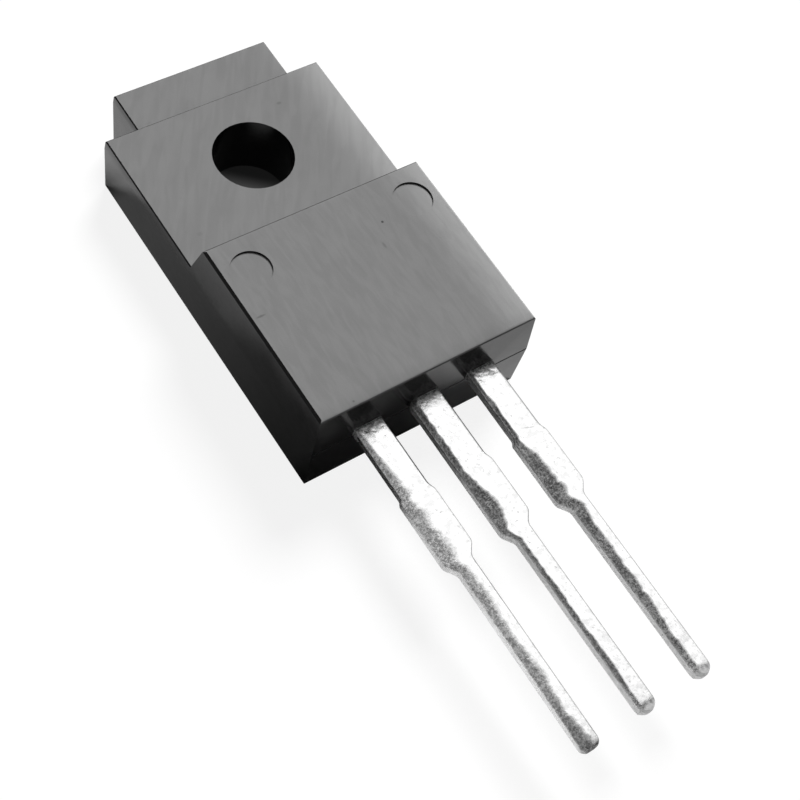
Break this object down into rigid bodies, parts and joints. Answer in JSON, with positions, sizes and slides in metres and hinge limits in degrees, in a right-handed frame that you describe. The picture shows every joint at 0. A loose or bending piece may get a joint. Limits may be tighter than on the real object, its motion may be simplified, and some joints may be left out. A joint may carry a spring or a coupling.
{
  "type": "power transistor",
  "caption": "Fully moulded power transistor with a screw hole in its tab, a narrow head, a thick block over the die and flat tinned leads for a circuit board.",
  "frame": {"origin": "where the axis of the mounting hole meets the back face", "axes": "+X across the leads from left to right seen from the front, +Y from the leads towards the head, +Z out of the front face; the part lies on its back face"},
  "size_m": [0.0098, 0.0312, 0.0045],
  "materials": {
    "epoxy": "fine matte front and back, smoother side walls",
    "tinned_copper": "bright tin over stamped copper",
    "silicon": "polished",
    "solder": "satin",
    "bond_wire": "drawn wire"
  },
  "bodies": {
    "root": {"moulded_body": "epoxy", "centre_lead": "tinned_copper", "left_lead": "tinned_copper", "right_lead": "tinned_copper", "silicon_die": "silicon", "die_solder": "solder", "thin_wire": "bond_wire", "thick_wire_inner": "bond_wire", "thick_wire_outer": "bond_wire"}
  },
  "joints": []
}
